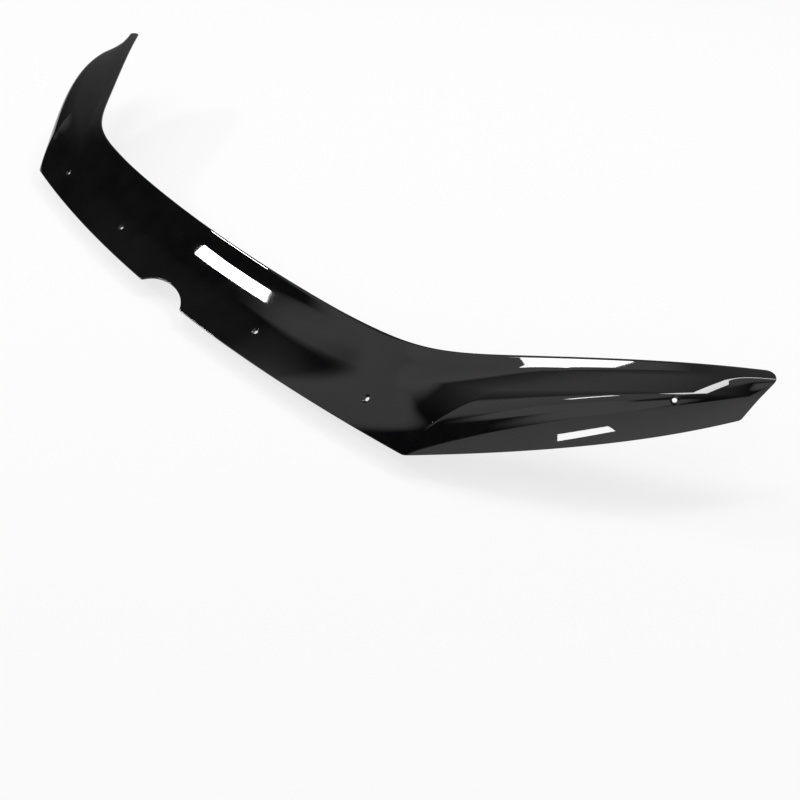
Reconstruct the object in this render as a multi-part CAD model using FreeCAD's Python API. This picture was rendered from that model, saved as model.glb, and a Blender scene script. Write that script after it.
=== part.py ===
import FreeCAD, Part
import bisect
import math
import os

# Hood bug deflector: one thin moulded shell that wraps the leading edge of a hood.
# X runs across the vehicle, Y from front to back, Z up. The shell is symmetric about X = 0.
# The origin is in line and level with the two lower corners of the shell.
# All lengths are in millimetres and all angles in degrees.

# Wall
wall = 3.0

# Lower edge: a shallow bow between the two lower corners, then a bulging curve up each wing
corner_half_width = 480.0
lower_bow = 40.0
wing_edge_share = 0.62
wing_edge_bulge = 43.7
wing_edge_rise = 7.1

# Top edge: a bow, a bend of a smaller radius and a straight wing, as seen from above
top_setback = 53.0
top_bow_radius = 2900.0
top_bend_start = 375.0
top_bend_radius = 175.0
wing_sweep = 38.5
top_half_length = 791.0
top_height_middle = 63.0
top_height_tip = 106.0
top_rise_start = 253.0

# Crease: the line from each lower corner to the top edge, where the face turns into the wing
# It meets the top edge at a share of that edge's length from the middle
crease_top_share = 0.731
crease_radius = 14.0

# Lip: the band along the top edge that kicks up from the face
lip_width = 18.0
lip_angle_middle = 53.0
lip_angle_crease = 25.0
lip_angle_tip = 6.5

# Fold between the face and the lip: softer in the middle, where the face also sags below it
fold_round_middle = 26.0
fold_round = 13.0
fold_sag_middle = 1.8

# Shoulder: where the face rolls over, as a share of the way up to the fold and a lift above it
shoulder_share_middle = 0.5
shoulder_share_crease = 0.225
shoulder_share_tip = 0.39
shoulder_lift_middle = -6.5
shoulder_lift_crease = 38.5
shoulder_lift_tip = 1.5
shoulder_gather = 5.5

# Wing crown: how far the shoulder swells halfway along the wing
wing_crown_up = 18.0
wing_crown_out = 20.5

# Notch in the middle of the lower edge, measured up the face
notch_half_width = 53.0
notch_depth = 23.0
notch_corner_radius = 6.0

# Wing tips: where the cut from the top edge ends, out of the wing, back along it and down
tip_cut_out = 32.7
tip_cut_back = 28.4
tip_cut_drop = 46.5
tip_top_radius = 9.0
tip_low_radius = 4.0

# Screw holes: a straight bore under a countersink, at a height measured up the face
hole_radius = 2.75
countersink_radius = 5.2
countersink_depth = 1.2
inner_hole_station = 0.351
inner_hole_height = 39.5
outer_hole_station = 0.773
outer_hole_height = 44.5
wing_hole_station = 1.667
wing_hole_height = 53.7

# Stations on one half: 0 is the middle, 1 the crease and 2 the wing tip
PANEL_STEPS = 12
WING_STEPS = 9
FIT_ROUNDS = 6


def smooth_step(t):
    t = min(max(t, 0.0), 1.0)
    return t * t * (3.0 - 2.0 * t)


def top_edge(station):
    """Point of the top edge and the direction out of it, as seen from above."""
    crease_length = crease_top_share * top_half_length
    if station <= 1.0:
        along = crease_length * station
    else:
        along = crease_length + (top_half_length - crease_length) * (station - 1.0)
    bend_turn = math.asin(top_bend_start / top_bow_radius)
    sweep = math.radians(wing_sweep)
    bow_length = top_bow_radius * bend_turn
    bend_length = top_bend_radius * (sweep - bend_turn)

    turn = min(along, bow_length) / top_bow_radius
    x = top_bow_radius * math.sin(turn)
    y = top_setback + top_bow_radius * (1.0 - math.cos(turn))
    if along > bow_length:
        turn = min(bend_turn + (along - bow_length) / top_bend_radius, sweep)
        x += top_bend_radius * (math.sin(turn) - math.sin(bend_turn))
        y += top_bend_radius * (math.cos(bend_turn) - math.cos(turn))
    straight = max(along - bow_length - bend_length, 0.0)
    x += straight * math.cos(sweep)
    y += straight * math.sin(sweep)

    rise = smooth_step((along - top_rise_start) / (top_half_length - top_rise_start))
    z = top_height_middle + (top_height_tip - top_height_middle) * rise
    outward = FreeCAD.Vector(math.sin(turn), -math.cos(turn), 0.0)
    return FreeCAD.Vector(x, y, z), outward


def wing_edge():
    """Corner, bend and end of the right wing's lower edge."""
    top, outward = top_edge(2.0)
    along = FreeCAD.Vector(-outward.y, outward.x, 0.0)
    corner = FreeCAD.Vector(corner_half_width, 0.0, 0.0)
    end = top + outward * tip_cut_out - along * tip_cut_back - FreeCAD.Vector(0.0, 0.0, tip_cut_drop)
    chord = end - corner
    side = FreeCAD.Vector(chord.y, -chord.x, 0.0).normalize()
    bend = corner + chord * wing_edge_share + side * wing_edge_bulge
    return corner, bend + FreeCAD.Vector(0.0, 0.0, wing_edge_rise), end


def lower_edge(station):
    """Point of the lower edge: a parabola up to the crease, then a curve with one bend."""
    if station <= 1.0:
        y = -lower_bow * (1.0 - station ** 2)
        return FreeCAD.Vector(corner_half_width * station, y, 0.0)
    corner, bend, end = wing_edge()
    t = station - 1.0
    return corner * (1.0 - t) ** 2 + bend * (2.0 * t * (1.0 - t)) + end * t ** 2


def shoulder_point(station, low, fold, outward):
    """Control point where the face rolls over, gathered towards the corner at the crease."""
    panel = min(station, 1.0)
    wing = max(station - 1.0, 0.0)
    share = shoulder_share_middle
    share += (shoulder_share_crease - shoulder_share_middle) * panel ** 6
    share += (shoulder_share_tip - shoulder_share_crease) * wing
    lift = shoulder_lift_middle
    lift += (shoulder_lift_crease - shoulder_lift_middle) * panel ** shoulder_gather
    lift += (shoulder_lift_tip - shoulder_lift_crease) * wing
    crown = 4.0 * wing * (1.0 - wing)
    up = FreeCAD.Vector(0.0, 0.0, lift + wing_crown_up * crown)
    return low + (fold - low) * share + up + outward * (wing_crown_out * crown)


def section(station):
    """Control points up the face at a station: lower edge, shoulder, three at the fold, top."""
    middle = (1.0 - min(station, 1.0) ** 2) ** 2
    wing = max(station - 1.0, 0.0)
    angle = lip_angle_crease + (lip_angle_middle - lip_angle_crease) * middle
    angle = math.radians(angle + (lip_angle_tip - lip_angle_crease) * wing)
    fold_reach = fold_round + (fold_round_middle - fold_round) * middle

    low = lower_edge(station)
    top, outward = top_edge(station)
    down_lip = outward * math.cos(angle) - FreeCAD.Vector(0.0, 0.0, math.sin(angle))
    fold = top + down_lip * lip_width
    shoulder = shoulder_point(station, low, fold, outward)
    before_fold = fold + (shoulder - fold).normalize() * fold_reach
    before_fold -= FreeCAD.Vector(0.0, 0.0, fold_sag_middle * middle)
    after_fold = fold - down_lip * (0.7 * fold_round)
    return [low, shoulder, before_fold, fold, after_fold, top]


def stations():
    """Stations from the left tip to the right tip, close together at the two creases."""
    gap = crease_radius / (2.0 * corner_half_width)
    panel = [i * (1.0 - gap) / PANEL_STEPS for i in range(PANEL_STEPS + 1)]
    wing = [1.0 + gap + i * (1.0 - gap) / WING_STEPS for i in range(WING_STEPS + 1)]
    half = panel + [1.0] + wing
    return [-station for station in reversed(half[1:])] + half


def mirrored(point):
    return FreeCAD.Vector(-point.x, point.y, point.z)


def outer_net():
    """Control points of the outer skin, one row for each station."""
    net = []
    for station in stations():
        row = section(abs(station))
        if station < 0.0:
            row = [mirrored(point) for point in row]
        net.append(row)
    return net


def clamped_knots(count, degree):
    """Evenly spaced knots and their multiplicities for a number of control points."""
    knots = [float(k) for k in range(count - degree + 1)]
    mults = [degree + 1] + [1] * (len(knots) - 2) + [degree + 1]
    return knots, mults


def knot_averages(knots, mults, degree):
    """Parameter at which each control point has most weight."""
    full = [knot for knot, mult in zip(knots, mults) for _ in range(mult)]
    count = len(full) - degree - 1
    return [sum(full[i + 1:i + 1 + degree]) / degree for i in range(count)]


def outer_skin():
    """Outer face of the whole shell: cubic across the vehicle and quadratic up the face."""
    net = outer_net()
    u_knots, u_mults = clamped_knots(len(net), 3)
    v_knots, v_mults = clamped_knots(len(net[0]), 2)
    skin = Part.BSplineSurface()
    skin.buildFromPolesMultsKnots(net, u_mults, v_mults, u_knots, v_knots, False, False, 3, 2)
    return skin


def inner_skin(outer):
    """Inner face: its control points are moved until it lies one wall under the outer face."""
    inner = outer.copy()
    for start, end in zip(outer.getVKnots()[:-1], outer.getVKnots()[1:]):
        inner.insertVKnot((start + end) / 2.0, 1, 0.0)
    u_places = knot_averages(inner.getUKnots(), inner.getUMultiplicities(), 3)
    v_places = knot_averages(inner.getVKnots(), inner.getVMultiplicities(), 2)
    for _ in range(FIT_ROUNDS):
        fitted = inner.copy()
        for i, u in enumerate(u_places, 1):
            for j, v in enumerate(v_places, 1):
                target = outer.value(u, v) - outer.normal(u, v) * wall
                fitted.setPole(i, j, inner.getPole(i, j) + target - inner.value(u, v))
        inner = fitted
    return inner


def panels(skin):
    """Panels of a skin from left to right, cut at the middle, the creases and halfway between."""
    u0, u1, v0, v1 = skin.bounds()
    main_cuts = [u0, u0 + WING_STEPS, (u0 + u1) / 2.0, u1 - WING_STEPS, u1]
    cuts = sorted(main_cuts + [(a + b) / 2.0 for a, b in zip(main_cuts[:-1], main_cuts[1:])])
    pieces = []
    for start, end in zip(cuts[:-1], cuts[1:]):
        piece = skin.copy()
        piece.segment(start, end, v0, v1)
        pieces.append(piece)
    return pieces


def rim(outer_curve, inner_curve):
    """Strip across the wall between two matching border curves."""
    return Part.makeRuledSurface(outer_curve.toShape(), inner_curve.toShape())


def shell_body(outer):
    """Solid between the outer skin and the inner skin, closed by the rims."""
    outer_panels = panels(outer)
    inner_panels = panels(inner_skin(outer))
    faces = [piece.toShape() for piece in outer_panels + inner_panels]
    for over, under in zip(outer_panels, inner_panels):
        u0, u1, v0, v1 = over.bounds()
        faces.append(rim(over.vIso(v0), under.vIso(v0)))
        faces.append(rim(over.vIso(v1), under.vIso(v1)))
    left_tip, right_tip, v0, v1 = outer.bounds()
    faces.append(rim(outer_panels[0].uIso(left_tip), inner_panels[0].uIso(left_tip)))
    faces.append(rim(outer_panels[-1].uIso(right_tip), inner_panels[-1].uIso(right_tip)))
    shell = Part.Shell(faces)
    shell.sewShape()
    body = Part.Solid(shell)
    if body.Volume < 0.0:
        body.reverse()
    return body


def round_corners(body, corner, radius):
    """Round the edge across the wall at a corner of the outline, on the right and the left."""
    edges = []
    for point in (corner, mirrored(corner)):
        edges.append(min(body.Edges, key=lambda edge: edge.CenterOfMass.distanceToPoint(point)))
    return body.makeFillet(radius, edges)


def round_tips(body):
    end = section(2.0)
    body = round_corners(body, end[-1], tip_top_radius)
    return round_corners(body, end[0], tip_low_radius)


def notch_cutter():
    """Cutter square to the face: a large arc that runs out into the lower edge over two small ones."""
    low, shoulder = section(0.0)[:2]
    up = (shoulder - low).normalize()
    outward = FreeCAD.Vector(1.0, 0.0, 0.0).cross(up)
    radius = (notch_half_width ** 2 + notch_depth ** 2) / (2.0 * notch_depth)
    centre_height = notch_depth - radius
    edge_height = (lower_edge(notch_half_width / corner_half_width) - low).dot(up)
    corner_height = edge_height + notch_corner_radius
    reach = radius + notch_corner_radius
    corner_x = math.sqrt(reach ** 2 - (corner_height - centre_height) ** 2)
    join_angle = math.asin(corner_x / reach)

    def place(x, height):
        return low + FreeCAD.Vector(x, 0.0, 0.0) + up * height - outward * (3.0 * wall)

    def corner_arc(side):
        """Three points of a small arc, from the lower edge to the large arc."""
        points = []
        for angle in (0.0, join_angle / 2.0, join_angle):
            x = corner_x - notch_corner_radius * math.sin(angle)
            points.append(place(side * x, corner_height - notch_corner_radius * math.cos(angle)))
        return points

    left = corner_arc(-1.0)
    right = corner_arc(1.0)
    arcs = [Part.Arc(*left), Part.Arc(left[2], place(0.0, notch_depth), right[2]), Part.Arc(*right[::-1])]
    below = [right[0], place(corner_x, -2.0 * wall), place(-corner_x, -2.0 * wall), left[0]]
    edges = [arc.toShape() for arc in arcs] + Part.makePolygon(below).Edges
    return Part.Face(Part.Wire(edges)).extrude(outward * (6.0 * wall))


def across_at(station):
    """Parameter across the skins at a station, which is negative left of the middle."""
    rows = stations()
    knots, mults = clamped_knots(len(rows), 3)
    places = knot_averages(knots, mults, 3)
    i = bisect.bisect_right(rows, station) - 1
    share = (station - rows[i]) / (rows[i + 1] - rows[i])
    return places[i] + (places[i + 1] - places[i]) * share


def cut_hole(body, outer, station, height):
    """Drill and countersink one hole square to the outer face."""
    u = across_at(station)
    v = outer.uIso(u).toShape().getParameterByLength(height)
    point = outer.value(u, v)
    normal = outer.normal(u, v)
    mouth = point + normal * countersink_depth
    mouth_radius = 2.0 * countersink_radius - hole_radius
    sink = Part.makeCone(mouth_radius, hole_radius, 2.0 * countersink_depth, mouth, -normal)
    bore = Part.makeCylinder(hole_radius, 3.0 * wall, mouth, -normal)
    return body.cut(bore.fuse(sink))


def cut_holes(body, outer):
    """Cut the three holes of each half."""
    holes = [
        (inner_hole_station, inner_hole_height),
        (outer_hole_station, outer_hole_height),
        (wing_hole_station, wing_hole_height),
    ]
    for station, height in holes:
        body = cut_hole(body, outer, station, height)
        body = cut_hole(body, outer, -station, height)
    return body


def deflector_shield():
    outer = outer_skin()
    body = shell_body(outer)
    body = round_tips(body).cut(notch_cutter())
    return cut_holes(body, outer)


os.makedirs("parts", exist_ok=True)
deflector_shield().exportStep("parts/deflector_shield.step")
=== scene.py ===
import bpy
import numpy as np
from mathutils import Matrix, Vector


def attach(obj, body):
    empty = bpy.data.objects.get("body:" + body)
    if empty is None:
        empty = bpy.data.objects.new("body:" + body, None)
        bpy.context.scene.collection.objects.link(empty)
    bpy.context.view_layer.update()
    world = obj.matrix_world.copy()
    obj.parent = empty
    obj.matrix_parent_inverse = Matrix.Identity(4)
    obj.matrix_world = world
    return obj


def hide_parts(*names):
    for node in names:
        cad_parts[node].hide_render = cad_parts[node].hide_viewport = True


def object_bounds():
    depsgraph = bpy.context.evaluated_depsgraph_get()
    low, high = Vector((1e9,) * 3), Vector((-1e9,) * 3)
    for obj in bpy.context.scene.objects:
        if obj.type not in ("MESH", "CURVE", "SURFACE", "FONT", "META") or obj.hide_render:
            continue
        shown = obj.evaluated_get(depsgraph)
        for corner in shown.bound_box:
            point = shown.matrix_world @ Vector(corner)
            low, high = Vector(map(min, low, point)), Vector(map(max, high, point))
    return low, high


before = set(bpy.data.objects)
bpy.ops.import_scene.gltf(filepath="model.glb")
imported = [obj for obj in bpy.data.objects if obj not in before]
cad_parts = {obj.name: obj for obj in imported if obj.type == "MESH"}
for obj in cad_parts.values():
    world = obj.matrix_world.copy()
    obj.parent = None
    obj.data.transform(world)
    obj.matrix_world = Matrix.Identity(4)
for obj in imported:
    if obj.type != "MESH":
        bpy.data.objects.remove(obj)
cad_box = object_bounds()

# Shield
# One thin sheet of gloss black acrylic, moulded to wrap the front edge of a hood and fixed
# through six countersunk holes.
# Its outer face is a smooth surface over rows of control points that stand across the hood.
# Sizes are in millimetres, as in the solid, until the mesh is filled in metres.
WALL = 3.0
RIM_RADIUS = 0.9
CORNER_HALF_WIDTH = 480.0
LOWER_BOW = 40.0
WING_EDGE_SHARE = 0.62
WING_EDGE_BULGE = 43.7
WING_EDGE_RISE = 7.1
TOP_SETBACK = 53.0
TOP_BOW_RADIUS = 2900.0
TOP_BEND_START = 375.0
TOP_BEND_RADIUS = 175.0
WING_SWEEP = np.radians(38.5)
TOP_HALF_LENGTH = 791.0
TOP_HEIGHT_MIDDLE = 63.0
TOP_HEIGHT_TIP = 106.0
TOP_RISE_START = 253.0
CREASE_TOP_SHARE = 0.731
CREASE_RADIUS = 14.0
LIP_WIDTH = 18.0
LIP_ANGLE_MIDDLE = 53.0
LIP_ANGLE_CREASE = 25.0
LIP_ANGLE_TIP = 6.5
FOLD_ROUND_MIDDLE = 26.0
FOLD_ROUND = 13.0
FOLD_SAG_MIDDLE = 1.8
AFTER_FOLD_SHARE = 0.7
SHOULDER_SHARES = (0.5, 0.225, 0.39)
SHOULDER_LIFTS = (-6.5, 38.5, 1.5)
SHOULDER_HOLD = 6
SHOULDER_GATHER = 5.5
WING_CROWN_UP = 18.0
WING_CROWN_OUT = 20.5
TIP_CUT_OUT = 32.7
TIP_CUT_BACK = 28.4
TIP_CUT_DROP = 46.5
TIP_TOP_SETBACK = 11.7
TIP_LOW_SETBACK = 3.2
NOTCH_HALF_WIDTH = 53.0
NOTCH_DEPTH = 23.0
NOTCH_CORNER_RADIUS = 6.0
PANEL_STEPS = 12
WING_STEPS = 9
UP = np.array([0.0, 0.0, 1.0])
MILLIMETRE = 0.001


def top_edge(station):
    """Top edge: an arc, a tighter arc and a straight run in plan, rising by a smooth step."""
    panel = np.minimum(station, 1.0)
    wing = np.maximum(station - 1.0, 0.0)
    along = TOP_HALF_LENGTH * (CREASE_TOP_SHARE * panel + (1.0 - CREASE_TOP_SHARE) * wing)
    bend_turn = np.arcsin(TOP_BEND_START / TOP_BOW_RADIUS)
    bow_length = TOP_BOW_RADIUS * bend_turn
    bend_length = TOP_BEND_RADIUS * (WING_SWEEP - bend_turn)
    bow = np.minimum(along, bow_length) / TOP_BOW_RADIUS
    bend = bend_turn + np.clip(along - bow_length, 0.0, bend_length) / TOP_BEND_RADIUS
    straight = np.maximum(along - bow_length - bend_length, 0.0)
    x = TOP_BOW_RADIUS * np.sin(bow) + TOP_BEND_RADIUS * (np.sin(bend) - np.sin(bend_turn))
    y = TOP_BOW_RADIUS * (1.0 - np.cos(bow)) + TOP_BEND_RADIUS * (np.cos(bend_turn) - np.cos(bend))
    x = x + straight * np.cos(WING_SWEEP)
    y = y + straight * np.sin(WING_SWEEP) + TOP_SETBACK
    t = np.clip((along - TOP_RISE_START) / (TOP_HALF_LENGTH - TOP_RISE_START), 0.0, 1.0)
    z = TOP_HEIGHT_MIDDLE + (TOP_HEIGHT_TIP - TOP_HEIGHT_MIDDLE) * t * t * (3.0 - 2.0 * t)
    turn = np.where(along > bow_length, bend, bow)
    return np.stack([x, y, z], -1), np.stack([np.sin(turn), -np.cos(turn), 0.0 * turn], -1)


def lower_edge(station):
    """Lower edge: a parabola in plan up to the crease, then a quadratic curve up the wing."""
    tip, outward = [rows[0] for rows in top_edge(np.array([2.0]))]
    back = np.array([-outward[1], outward[0], 0.0])
    corner = np.array([CORNER_HALF_WIDTH, 0.0, 0.0])
    end = tip + outward * TIP_CUT_OUT - back * TIP_CUT_BACK - UP * TIP_CUT_DROP
    chord = end - corner
    side = np.array([chord[1], -chord[0], 0.0]) / np.hypot(chord[0], chord[1])
    bend = corner + chord * WING_EDGE_SHARE + side * WING_EDGE_BULGE + UP * WING_EDGE_RISE
    panel = np.minimum(station, 1.0)
    wing = np.maximum(station - 1.0, 0.0)[:, None]
    face = np.stack([CORNER_HALF_WIDTH * panel, -LOWER_BOW * (1.0 - panel ** 2), 0.0 * panel], -1)
    curve = corner * (1.0 - wing) ** 2 + bend * 2.0 * wing * (1.0 - wing) + end * wing ** 2
    return np.where(station[:, None] <= 1.0, face, curve)


def shoulder_points(station, low, fold, outward):
    """Where the face rolls over: a share of the way to the fold, lifted, with a crown on the wing."""
    panel = np.minimum(station, 1.0)[:, None]
    wing = np.maximum(station - 1.0, 0.0)[:, None]
    middle, crease, tip = SHOULDER_SHARES
    share = middle + (crease - middle) * panel ** SHOULDER_HOLD + (tip - crease) * wing
    middle, crease, tip = SHOULDER_LIFTS
    lift = middle + (crease - middle) * panel ** SHOULDER_GATHER + (tip - crease) * wing
    crown = 4.0 * wing * (1.0 - wing)
    up = UP * (lift + WING_CROWN_UP * crown)
    return low + (fold - low) * share + up + outward * (WING_CROWN_OUT * crown)


def control_rows(station):
    """Rows of lower edge, shoulder, three points at the fold, and top edge, from left to right."""
    middle = (1.0 - np.minimum(station, 1.0)[:, None] ** 2) ** 2
    wing = np.maximum(station - 1.0, 0.0)[:, None]
    angle = LIP_ANGLE_CREASE + (LIP_ANGLE_MIDDLE - LIP_ANGLE_CREASE) * middle
    angle = np.radians(angle + (LIP_ANGLE_TIP - LIP_ANGLE_CREASE) * wing)
    low = lower_edge(station)
    top, outward = top_edge(station)
    down_lip = outward * np.cos(angle) - UP * np.sin(angle)
    fold = top + down_lip * LIP_WIDTH
    shoulder = shoulder_points(station, low, fold, outward)
    away = shoulder - fold
    away /= np.linalg.norm(away, axis=1, keepdims=True)
    before_fold = fold + away * (FOLD_ROUND + (FOLD_ROUND_MIDDLE - FOLD_ROUND) * middle)
    before_fold -= UP * (FOLD_SAG_MIDDLE * middle)
    after_fold = fold - down_lip * (AFTER_FOLD_SHARE * FOLD_ROUND)
    right = np.stack([low, shoulder, before_fold, fold, after_fold, top], 1)
    left = right[:0:-1] * np.array([-1.0, 1.0, 1.0])
    return np.concatenate([left, right])


def weights(place, count, degree):
    """Weight and slope of each control point at a place, on evenly spaced clamped knots."""
    inner = np.arange(count - degree + 1.0)
    knots = np.concatenate([np.zeros(degree), inner, np.full(degree, inner[-1])])
    place = np.clip(place, 0.0, inner[-1] - 1e-9)[:, None]
    weight = ((place >= knots[:-1]) & (place < knots[1:])).astype(float)
    for order in range(1, degree + 1):
        span = knots[order:] - knots[:-order]
        span = np.where(span > 0.0, span, 1.0)
        lower = weight[:, :-1] / span[:-1]
        upper = weight[:, 1:] / span[1:]
        slope = order * (lower - upper)
        weight = (place - knots[:-order - 1]) * lower + (knots[order + 1:] - place) * upper
    return weight, slope


crease_gap = CREASE_RADIUS / (2.0 * CORNER_HALF_WIDTH)
panel_stations = np.linspace(0.0, 1.0 - crease_gap, PANEL_STEPS + 1)
wing_stations = np.linspace(1.0 + crease_gap, 2.0, WING_STEPS + 1)
right_stations = np.concatenate([panel_stations, [1.0], wing_stations])
rows = control_rows(right_stations)
ACROSS_END = rows.shape[0] - 3.0
UP_END = rows.shape[1] - 2.0
MIDDLE = ACROSS_END / 2.0


def outer_face(across, up):
    """Points, outward normals and slopes of the face: cubic across and quadratic up its rows."""
    weight_a, slope_a = weights(across.ravel(), rows.shape[0], 3)
    weight_u, slope_u = weights(up.ravel(), rows.shape[1], 2)
    point = np.einsum("ni,nj,ijk->nk", weight_a, weight_u, rows, optimize=True)
    run = np.einsum("ni,nj,ijk->nk", slope_a, weight_u, rows, optimize=True)
    rise = np.einsum("ni,nj,ijk->nk", weight_a, slope_u, rows, optimize=True)
    normal = np.cross(run, rise)
    normal /= np.linalg.norm(normal, axis=1, keepdims=True)
    shape = across.shape + (3,)
    return [values.reshape(shape) for values in (point, normal, run, rise)]


# Columns stand close together at the tips, the notch, the creases and the screw holes
HOLE_PLACES = ((0.351, 39.5), (0.773, 44.5), (1.667, 53.7))
COLUMNS = 560
TIP_COLUMNS = 12


def column_at(station):
    """Place across the face of a station of the solid, by the averages of its knots."""
    places = MIDDLE + np.arange(len(right_stations), dtype=float)
    places[-2:] = ACROSS_END - 1.0 / 3.0, ACROSS_END
    return float(np.interp(station, right_stations, places))


def spaced(start, end, count, peaks):
    """Places from start to end whose spacing shrinks round each peak (centre, width, strength)."""
    fine = np.linspace(start, end, 20001)
    density = np.ones_like(fine)
    for centre, width, strength in peaks:
        density += strength * np.exp(-((fine - centre) / width) ** 2)
    total = np.concatenate([[0.0], np.cumsum((density[1:] + density[:-1]) / 2.0)])
    return np.interp(np.linspace(0.0, total[-1], count), total, fine)


def height_to_up(across, height):
    """Place up the face that lies at a height from the lower edge, measured along the face."""
    up = np.linspace(0.0, UP_END, 801)
    point = outer_face(np.full_like(up, across), up)[0]
    length = np.concatenate([[0.0], np.cumsum(np.linalg.norm(np.diff(point, axis=0), axis=1))])
    return float(np.interp(height, length, up))


holes = []
for station, height in HOLE_PLACES:
    for side in (-1, 1):
        hole_column = MIDDLE + side * (column_at(station) - MIDDLE)
        holes.append((hole_column, height_to_up(hole_column, height)))

tip_run = np.linalg.norm(outer_face(np.array([ACROSS_END]), np.array([UP_END]))[2])
rim_inset = RIM_RADIUS / tip_run
tip_span = TIP_TOP_SETBACK / tip_run
tip_turn = np.linspace(0.0, np.pi / 2.0, TIP_COLUMNS)
tip_places = rim_inset + (tip_span - rim_inset) * (1.0 - np.cos(tip_turn))
peaks = [(hole_column, 0.3, 1.6) for hole_column, _ in holes] + [(MIDDLE, 1.7, 0.8)]
middle_places = spaced(tip_span, ACROSS_END - tip_span, COLUMNS, peaks)
across_places = np.concatenate([tip_places[:-1], middle_places, ACROSS_END - tip_places[-2::-1]])
up_places = np.concatenate([
    np.linspace(0.0, 1.0, 27)[:-1],
    np.linspace(1.0, 2.0, 14)[:-1],
    np.linspace(2.0, 3.0, 13)[:-1],
    np.linspace(3.0, UP_END, 16),
])


def notch_trim(x):
    """Height of the notch's edge over the lower edge: a large arc between two small ones."""
    radius = (NOTCH_HALF_WIDTH ** 2 + NOTCH_DEPTH ** 2) / (2.0 * NOTCH_DEPTH)
    centre = NOTCH_DEPTH - radius
    small = NOTCH_CORNER_RADIUS - RIM_RADIUS
    large = radius + RIM_RADIUS
    reach = large + small
    corner_height = RIM_RADIUS + small
    corner_x = np.sqrt(reach ** 2 - (corner_height - centre) ** 2)
    join_x = corner_x * large / reach
    x = np.abs(x)
    arc = centre + np.sqrt(np.maximum(large ** 2 - x ** 2, 0.0))
    corner = corner_height - np.sqrt(np.maximum(small ** 2 - (corner_x - x) ** 2, 0.0))
    return np.where(x < join_x, arc, np.where(x < corner_x, corner, RIM_RADIUS))


def corner_trim(distance, setback):
    """Height of a quarter ellipse over the edge at a distance from the tip, inset by the rim."""
    reach = np.clip((distance - RIM_RADIUS) / (setback - RIM_RADIUS), 0.0, 1.0)
    return RIM_RADIUS + (setback - RIM_RADIUS) * (1.0 - np.sqrt(1.0 - (1.0 - reach) ** 2))


edge_zero = np.zeros_like(across_places)
low_point, _, _, low_rise = outer_face(across_places, edge_zero)
top_rise = outer_face(across_places, edge_zero + UP_END)[3]
from_tip = np.minimum(across_places, ACROSS_END - across_places) * tip_run
low_trim = np.maximum(notch_trim(low_point[:, 0]), corner_trim(from_tip, TIP_LOW_SETBACK))
low_cut = low_trim / np.linalg.norm(low_rise, axis=1)
top_cut = corner_trim(from_tip, TIP_TOP_SETBACK) / np.linalg.norm(top_rise, axis=1)
across = np.repeat(across_places[:, None], len(up_places), 1)
up = np.repeat(up_places[None], len(across_places), 0)
up = np.where(up < 1.0, low_cut[:, None] + up * (1.0 - low_cut[:, None]), up)
up = np.where(up > 3.0, 3.0 + (up - 3.0) * (1.0 - top_cut[:, None]), up)

points = []
shading = []
faces = []


def add_points(point, normal):
    """Stores points with their shading normals and returns their numbers in the same grid."""
    start = sum(len(block) for block in points)
    points.append(point.reshape(-1, 3))
    shading.append(normal.reshape(-1, 3))
    return start + np.arange(point[..., 0].size).reshape(point.shape[:-1])


def add_faces(grid, flip=False, keep=None):
    """Joins a grid of point numbers into four-sided faces, turned over where flip is set."""
    quads = np.stack([grid[:-1, :-1], grid[1:, :-1], grid[1:, 1:], grid[:-1, 1:]], -1)
    quads = quads[keep] if keep is not None else quads.reshape(-1, 4)
    faces.append(quads[:, ::-1] if flip else quads)


point, normal = outer_face(across, up)[:2]

# The top edge rolls back slightly over its last few millimetres
ROLL_WIDTH = 3.0
ROLL_RADIUS = 8.5
to_edge = np.linalg.norm(point - point[:, -1:], axis=2)
roll = np.maximum(ROLL_WIDTH - to_edge, 0.0)[..., None]
along_edge = np.gradient(point, axis=0)
up_face = np.cross(normal, along_edge)
up_face /= np.linalg.norm(up_face, axis=2, keepdims=True)
lean = roll / ROLL_RADIUS
point = point - normal * (roll * lean / 2.0)
normal = normal * np.cos(lean) + up_face * np.sin(lean)
outer_grid = add_points(point, normal)
inner_grid = add_points(point - normal * WALL, -normal)

# Screw holes: a block of faces round each one gives way to rings that close in on the hole
HOLE_RADIUS = 2.75
COUNTERSINK_RADIUS = 5.2
BLOCK_HALF_WIDTH = 10.0
RING_SHARES = np.array([0.2, 0.42, 0.64, 0.84, 1.0])
# Each step of a hole: distance from its axis, depth, and how far its surface leans to the axis
HOLE_STEPS = np.array([
    (COUNTERSINK_RADIUS + 0.25, 0.0, 0.0),
    (COUNTERSINK_RADIUS + 0.05, 0.03, 14.0),
    (COUNTERSINK_RADIUS - 0.15, 0.10, 26.1),
    (HOLE_RADIUS + 0.3, 1.07, 26.1),
    (HOLE_RADIUS + 0.08, 1.2, 58.0),
    (HOLE_RADIUS, 1.38, 90.0),
    (HOLE_RADIUS, WALL - 0.28, 90.0),
    (HOLE_RADIUS + 0.08, WALL - 0.08, 135.0),
    (HOLE_RADIUS + 0.3, WALL, 180.0),
])
solid_cells = np.ones((len(across_places) - 1, len(up_places) - 1), bool)


def block_loop(i0, i1, j0, j1):
    """Column and row numbers round a block, from its lower left corner and turning left."""
    across_count = i1 - i0
    up_count = j1 - j0
    i = [np.arange(i0, i1), np.full(up_count, i1), np.arange(i1, i0, -1), np.full(up_count, i0)]
    j = [np.full(across_count, j0), np.arange(j0, j1), np.full(across_count, j1), np.arange(j1, j0, -1)]
    return np.concatenate(i), np.concatenate(j)


def face_at_steps(hole_across, hole_up, steps):
    """Points and normals of the outer face at steps away from a hole's axis."""
    return outer_face(hole_across + steps[:, 0], hole_up + steps[:, 1])[:2]


def closed(loops):
    """A stack of loops with its first point repeated at the end, so that faces go all the way round."""
    return np.concatenate([loops, loops[:, :1]], 1)


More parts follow.
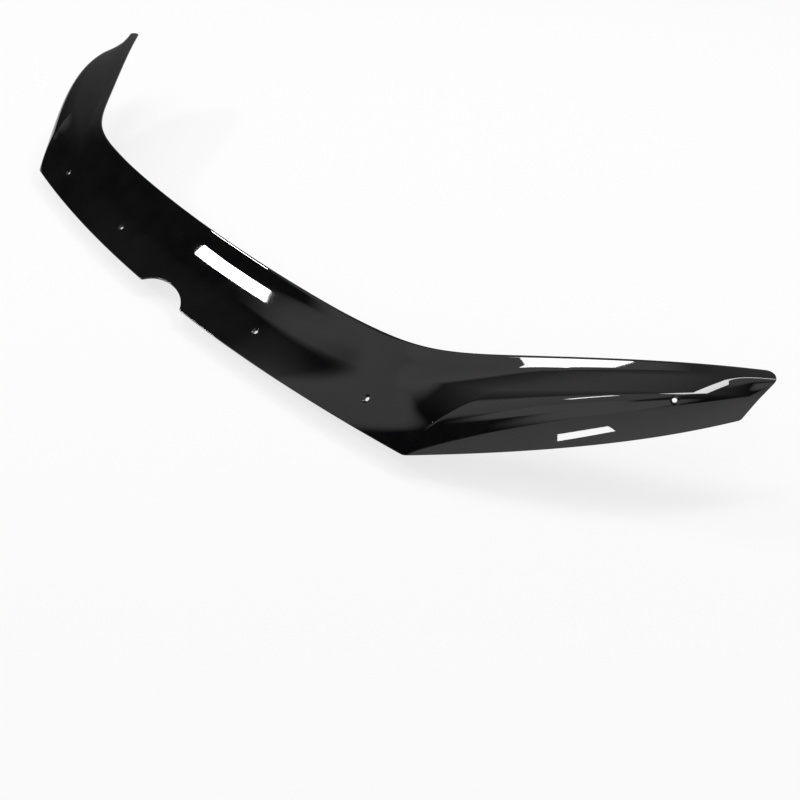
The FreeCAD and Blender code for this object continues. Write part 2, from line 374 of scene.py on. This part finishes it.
for hole_across, hole_up in holes:
    centre, _, run, rise = [v[0] for v in outer_face(np.array([hole_across]), np.array([hole_up]))]
    across_reach = BLOCK_HALF_WIDTH / np.linalg.norm(run)
    up_reach = BLOCK_HALF_WIDTH / np.linalg.norm(rise)
    i0, i1 = np.searchsorted(across_places, (hole_across - across_reach, hole_across + across_reach))
    row = np.argmin(np.abs(across_places - hole_across))
    j0, j1 = np.searchsorted(up[row], (hole_up - up_reach, hole_up + up_reach))
    solid_cells[i0:i1, j0:j1] = False
    loop_i, loop_j = block_loop(i0, i1, j0, j1)
    square = np.stack([across[loop_i, loop_j] - hole_across, up[loop_i, loop_j] - hole_up], -1)
    # Steps along the face that give a true circle where run and rise aren't square to each other
    metric = np.array([[run @ run, run @ rise], [run @ rise, rise @ rise]])
    length = np.sqrt(np.einsum("ni,ij,nj->n", square, metric, square))
    direction = square / length[:, None]
    outer_sheet = (outer_grid, 0.0, HOLE_STEPS[0, 0], False)
    inner_sheet = (inner_grid, WALL, HOLE_STEPS[-1, 0], True)
    mouths = []
    for grid, depth, first, inside in (outer_sheet, inner_sheet):
        loops = [grid[loop_i, loop_j]]
        for share in RING_SHARES:
            steps = square * (1.0 - share) + direction * first * share
            ring_point, ring_normal = face_at_steps(hole_across, hole_up, steps)
            facing = -ring_normal if inside else ring_normal
            loops.append(add_points(ring_point - ring_normal * depth, facing))
        add_faces(closed(np.stack(loops)), flip=not inside)
        mouths.append(loops[-1])
    loops = [mouths[0]]
    for distance, depth, lean in HOLE_STEPS[1:-1]:
        ring_point, ring_normal = face_at_steps(hole_across, hole_up, direction * distance)
        inward = centre - ring_point
        inward -= (inward * ring_normal).sum(1, keepdims=True) * ring_normal
        inward /= np.linalg.norm(inward, axis=1, keepdims=True)
        lean = np.radians(lean)
        facing = ring_normal * np.cos(lean) + inward * np.sin(lean)
        loops.append(add_points(ring_point - ring_normal * depth, facing))
    add_faces(closed(np.stack(loops + [mouths[1]])), flip=True)

add_faces(outer_grid, keep=solid_cells)
add_faces(inner_grid, flip=True, keep=solid_cells)

# Rim: the wall's edge, carried round the whole outline on a profile with two rounded corners
last_i = len(across_places) - 1
last_j = len(up_places) - 1
edge_i, edge_j = block_loop(0, last_i, 0, last_j)
edge_point = point[edge_i, edge_j]
edge_normal = normal[edge_i, edge_j]
tangent = np.roll(edge_point, -1, 0) - np.roll(edge_point, 1, 0)
outside = np.cross(tangent, edge_normal)
outside /= np.linalg.norm(outside, axis=1, keepdims=True)
loops = [outer_grid[edge_i, edge_j]]
quarter = np.radians([22.5, 45.0, 67.5, 90.0])
for turn in quarter:
    sink = RIM_RADIUS * (1.0 - np.cos(turn))
    place = edge_point + outside * RIM_RADIUS * np.sin(turn) - edge_normal * sink
    loops.append(add_points(place, outside * np.sin(turn) + edge_normal * np.cos(turn)))
for turn in quarter[::-1]:
    sink = WALL - RIM_RADIUS * (1.0 - np.cos(turn))
    place = edge_point + outside * RIM_RADIUS * np.sin(turn) - edge_normal * sink
    loops.append(add_points(place, outside * np.sin(turn) - edge_normal * np.cos(turn)))
add_faces(closed(np.stack(loops + [inner_grid[edge_i, edge_j]])))

points = np.concatenate(points)
shading = np.concatenate(shading)
faces = np.concatenate(faces)
used, faces = np.unique(faces, return_inverse=True)
faces = faces.reshape(-1, 4)
shield_mesh = bpy.data.meshes.new("shield")
shield_mesh.vertices.add(len(used))
shield_mesh.vertices.foreach_set("co", (points[used] * MILLIMETRE).astype(np.float32).ravel())
shield_mesh.loops.add(faces.size)
shield_mesh.loops.foreach_set("vertex_index", faces.astype(np.int32).ravel())
shield_mesh.polygons.add(len(faces))
shield_mesh.polygons.foreach_set("loop_start", np.arange(0, faces.size, 4, dtype=np.int32))
shield_mesh.polygons.foreach_set("use_smooth", np.ones(len(faces), bool))
shield_mesh.update(calc_edges=True)
shield_mesh.validate()
shield_mesh.normals_split_custom_set_from_vertices(shading[used])
shield = bpy.data.objects.new("shield", shield_mesh)
bpy.context.scene.collection.objects.link(shield)

# Gloss black acrylic: a soft waviness from the mould, a fine grain, and handling haze in patches
acrylic = bpy.data.materials.new("gloss_black_acrylic")
acrylic.use_nodes = True
nodes = acrylic.node_tree.nodes
links = acrylic.node_tree.links
gloss = nodes["Principled BSDF"]
gloss.inputs["IOR"].default_value = 1.49
place = nodes.new("ShaderNodeTexCoord")
waves = nodes.new("ShaderNodeTexNoise")
waves.inputs["Scale"].default_value = 9.0
waves.inputs["Detail"].default_value = 1.0
grain = nodes.new("ShaderNodeTexNoise")
grain.inputs["Scale"].default_value = 900.0
grain.inputs["Detail"].default_value = 2.0
haze = nodes.new("ShaderNodeTexNoise")
haze.inputs["Scale"].default_value = 22.0
haze.inputs["Detail"].default_value = 6.0
haze.inputs["Roughness"].default_value = 0.62
for noise in (waves, grain, haze):
    links.new(place.outputs["Object"], noise.inputs["Vector"])
wave_bump = nodes.new("ShaderNodeBump")
wave_bump.inputs["Strength"].default_value = 1.0
wave_bump.inputs["Distance"].default_value = 0.0002
links.new(waves.outputs["Fac"], wave_bump.inputs["Height"])
grain_bump = nodes.new("ShaderNodeBump")
grain_bump.inputs["Strength"].default_value = 1.0
grain_bump.inputs["Distance"].default_value = 0.0000015
links.new(grain.outputs["Fac"], grain_bump.inputs["Height"])
links.new(wave_bump.outputs["Normal"], grain_bump.inputs["Normal"])
links.new(grain_bump.outputs["Normal"], gloss.inputs["Normal"])
polish = nodes.new("ShaderNodeMapRange")
polish.inputs["From Min"].default_value = 0.35
polish.inputs["From Max"].default_value = 0.75
polish.inputs["To Min"].default_value = 0.008
polish.inputs["To Max"].default_value = 0.035
links.new(haze.outputs["Fac"], polish.inputs["Value"])
links.new(polish.outputs["Result"], gloss.inputs["Roughness"])
tint = nodes.new("ShaderNodeValToRGB")
tint.color_ramp.elements[0].position = 0.38
tint.color_ramp.elements[0].color = (0.0022, 0.0023, 0.0028, 1.0)
tint.color_ramp.elements[1].position = 0.72
tint.color_ramp.elements[1].color = (0.0048, 0.0047, 0.0050, 1.0)
links.new(haze.outputs["Fac"], tint.inputs["Fac"])
links.new(tint.outputs["Color"], gloss.inputs["Base Color"])
shield_mesh.materials.append(acrylic)
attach(shield, "root")
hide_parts("deflector_shield")

# Floor: a plain pale sheet that catches the shield's shadow. Most of what is seen of it, directly
# and in the gloss, is plain white, so that the background is white at a plain level of light.
FLOOR_DROP = 0.02
FLOOR_REACH = 40.0
WHITE_SHARE = 0.75
floor_mesh = bpy.data.meshes.new("floor")
floor_z = cad_box[0][2] - FLOOR_DROP
floor_corners = [(x * FLOOR_REACH, y * FLOOR_REACH, floor_z) for x, y in ((-1, -1), (1, -1), (1, 1), (-1, 1))]
floor_mesh.from_pydata(floor_corners, [], [(0, 1, 2, 3)])
floor = bpy.data.objects.new("floor", floor_mesh)
bpy.context.scene.collection.objects.link(floor)
floor_paint = bpy.data.materials.new("pale_floor")
floor_paint.use_nodes = True
nodes = floor_paint.node_tree.nodes
links = floor_paint.node_tree.links
nodes["Principled BSDF"].inputs["Base Color"].default_value = (0.9, 0.9, 0.9, 1.0)
nodes["Principled BSDF"].inputs["Roughness"].default_value = 0.8
rays = nodes.new("ShaderNodeLightPath")
seen = rays.outputs["Is Camera Ray"]
for ray in ("Is Glossy Ray", "Is Transmission Ray"):
    either = nodes.new("ShaderNodeMath")
    either.operation = "MAXIMUM"
    links.new(seen, either.inputs[0])
    links.new(rays.outputs[ray], either.inputs[1])
    seen = either.outputs["Value"]
share = nodes.new("ShaderNodeMath")
share.operation = "MULTIPLY"
share.inputs[1].default_value = WHITE_SHARE
links.new(seen, share.inputs[0])
white = nodes.new("ShaderNodeEmission")
blend = nodes.new("ShaderNodeMixShader")
links.new(share.outputs["Value"], blend.inputs["Fac"])
links.new(nodes["Principled BSDF"].outputs["BSDF"], blend.inputs[1])
links.new(white.outputs["Emission"], blend.inputs[2])
links.new(blend.outputs["Shader"], nodes["Material Output"].inputs["Surface"])
floor_mesh.materials.append(floor_paint)

# World: a dim room over the white floor, with a few soft round cards of light
world = bpy.data.worlds.new("studio")
bpy.context.scene.world = world
world.use_nodes = True
nodes = world.node_tree.nodes
links = world.node_tree.links
looking = nodes.new("ShaderNodeTexCoord").outputs["Generated"]
room = nodes["Background"]
room.inputs["Color"].default_value = (1.0, 1.0, 1.0, 1.0)
ROOM_LEVEL = 0.02


def soft_light(azimuth, elevation, full, end, brightness):
    """Adds a round glow: full brightness up to one angle from its centre, none past another."""
    turn, tilt = np.radians((azimuth, elevation))
    level = np.cos(tilt)
    nearness = nodes.new("ShaderNodeVectorMath")
    nearness.operation = "DOT_PRODUCT"
    nearness.inputs[1].default_value = (np.sin(turn) * level, -np.cos(turn) * level, np.sin(tilt))
    links.new(looking, nearness.inputs[0])
    fade = nodes.new("ShaderNodeMapRange")
    fade.interpolation_type = "SMOOTHSTEP"
    fade.inputs["From Min"].default_value = np.cos(np.radians(end))
    fade.inputs["From Max"].default_value = np.cos(np.radians(full))
    fade.inputs["To Max"].default_value = brightness
    links.new(nearness.outputs["Value"], fade.inputs["Value"])
    brighter = nodes.new("ShaderNodeMath")
    brighter.operation = "MAXIMUM"
    brighter.inputs[0].default_value = ROOM_LEVEL
    if room.inputs["Strength"].is_linked:
        links.new(room.inputs["Strength"].links[0].from_socket, brighter.inputs[0])
    links.new(fade.outputs["Result"], brighter.inputs[1])
    links.new(brighter.outputs["Value"], room.inputs["Strength"])


# The white floor runs on to the horizon and a little up the wall
soft_light(azimuth=0.0, elevation=-90.0, full=91.0, end=94.0, brightness=1.0)
# A ceiling panel to the left of the middle
soft_light(azimuth=-45.0, elevation=75.0, full=25.0, end=38.0, brightness=0.9)
# A card over the front of the shield
soft_light(azimuth=20.0, elevation=50.0, full=16.0, end=22.0, brightness=1.1)
# A dim card to the left, seen as the grey band beside the crease
soft_light(azimuth=-52.0, elevation=44.0, full=8.0, end=15.0, brightness=0.75)
# A card in front of the near wing
soft_light(azimuth=50.0, elevation=25.0, full=18.0, end=32.0, brightness=1.1)
# The pale far side of the room, behind the shield
soft_light(azimuth=180.0, elevation=15.0, full=15.0, end=105.0, brightness=0.4)

# Softbox: a small bright lamp whose rectangle shows on the face, to the right of the notch
lamp_data = bpy.data.lights.new("softbox", "AREA")
lamp_data.shape = "RECTANGLE"
lamp_data.size = 0.553
lamp_data.size_y = 0.269
lamp_data.energy = 40.0
softbox = bpy.data.objects.new("softbox", lamp_data)
softbox_long = Vector((0.801, -0.322, 0.505)).normalized()
softbox_short = Vector((-0.038, 0.814, 0.58)).normalized()
softbox_turn = Matrix((softbox_long, softbox_short, softbox_long.cross(softbox_short))).transposed()
softbox.matrix_world = Matrix.Translation((-2.979, -1.540, 2.078)) @ softbox_turn.to_4x4()
bpy.context.scene.collection.objects.link(softbox)

# Strip lamp: a long narrow lamp overhead, seen in the lip of the near wing
strip_data = bpy.data.lights.new("strip_lamp", "AREA")
strip_data.shape = "RECTANGLE"
strip_data.size = 0.16
strip_data.size_y = 0.86
strip_data.energy = 12.0
strip = bpy.data.objects.new("strip_lamp", strip_data)
strip.location = (-0.365, 0.30, 2.92)
bpy.context.scene.collection.objects.link(strip)

# Fill lamp: a broad lamp high behind the shield, which brings the floor and the object to a plain level
fill_data = bpy.data.lights.new("fill_lamp", "AREA")
fill_data.size = 0.8
fill_data.energy = 30.0
fill_lamp = bpy.data.objects.new("fill_lamp", fill_data)
fill_lamp.location = (0.3, 1.6, 2.8)
fill_lamp.rotation_euler = fill_lamp.location.to_track_quat("Z", "Y").to_euler()
bpy.context.scene.collection.objects.link(fill_lamp)

# Low lamp: a small lamp that faces up from the floor in front of the near wing, seen in its lower part
low_data = bpy.data.lights.new("low_lamp", "AREA")
low_data.shape = "RECTANGLE"
low_data.size = 0.085
low_data.size_y = 0.062
low_data.energy = 0.36
low_lamp = bpy.data.objects.new("low_lamp", low_data)
low_long = Vector((0.77, 0.64, 0.0)).normalized()
low_short = Vector((0.64, -0.77, 0.0)).normalized()
low_turn = Matrix((low_long, low_short, low_long.cross(low_short))).transposed()
low_lamp.matrix_world = Matrix.Translation((0.7268, 0.0498, floor_z + 0.001)) @ low_turn.to_4x4()
low_lamp.visible_camera = False
bpy.context.scene.collection.objects.link(low_lamp)

# Camera: the photograph's place, looking down from the front left of the vehicle
TILT = 55.63
TURN = 52.53
camera_data = bpy.data.cameras.new("camera")
camera_data.lens = 54.0
camera_data.sensor_width = 36.0
camera_data.clip_end = 200.0
camera = bpy.data.objects.new("camera", camera_data)
camera.location = (1.30544, -0.6362, 0.7859)
camera.rotation_euler = np.radians((TILT, 0.0, TURN))
bpy.context.scene.collection.objects.link(camera)
bpy.context.scene.camera = camera
bpy.context.scene.view_settings.view_transform = "Standard"
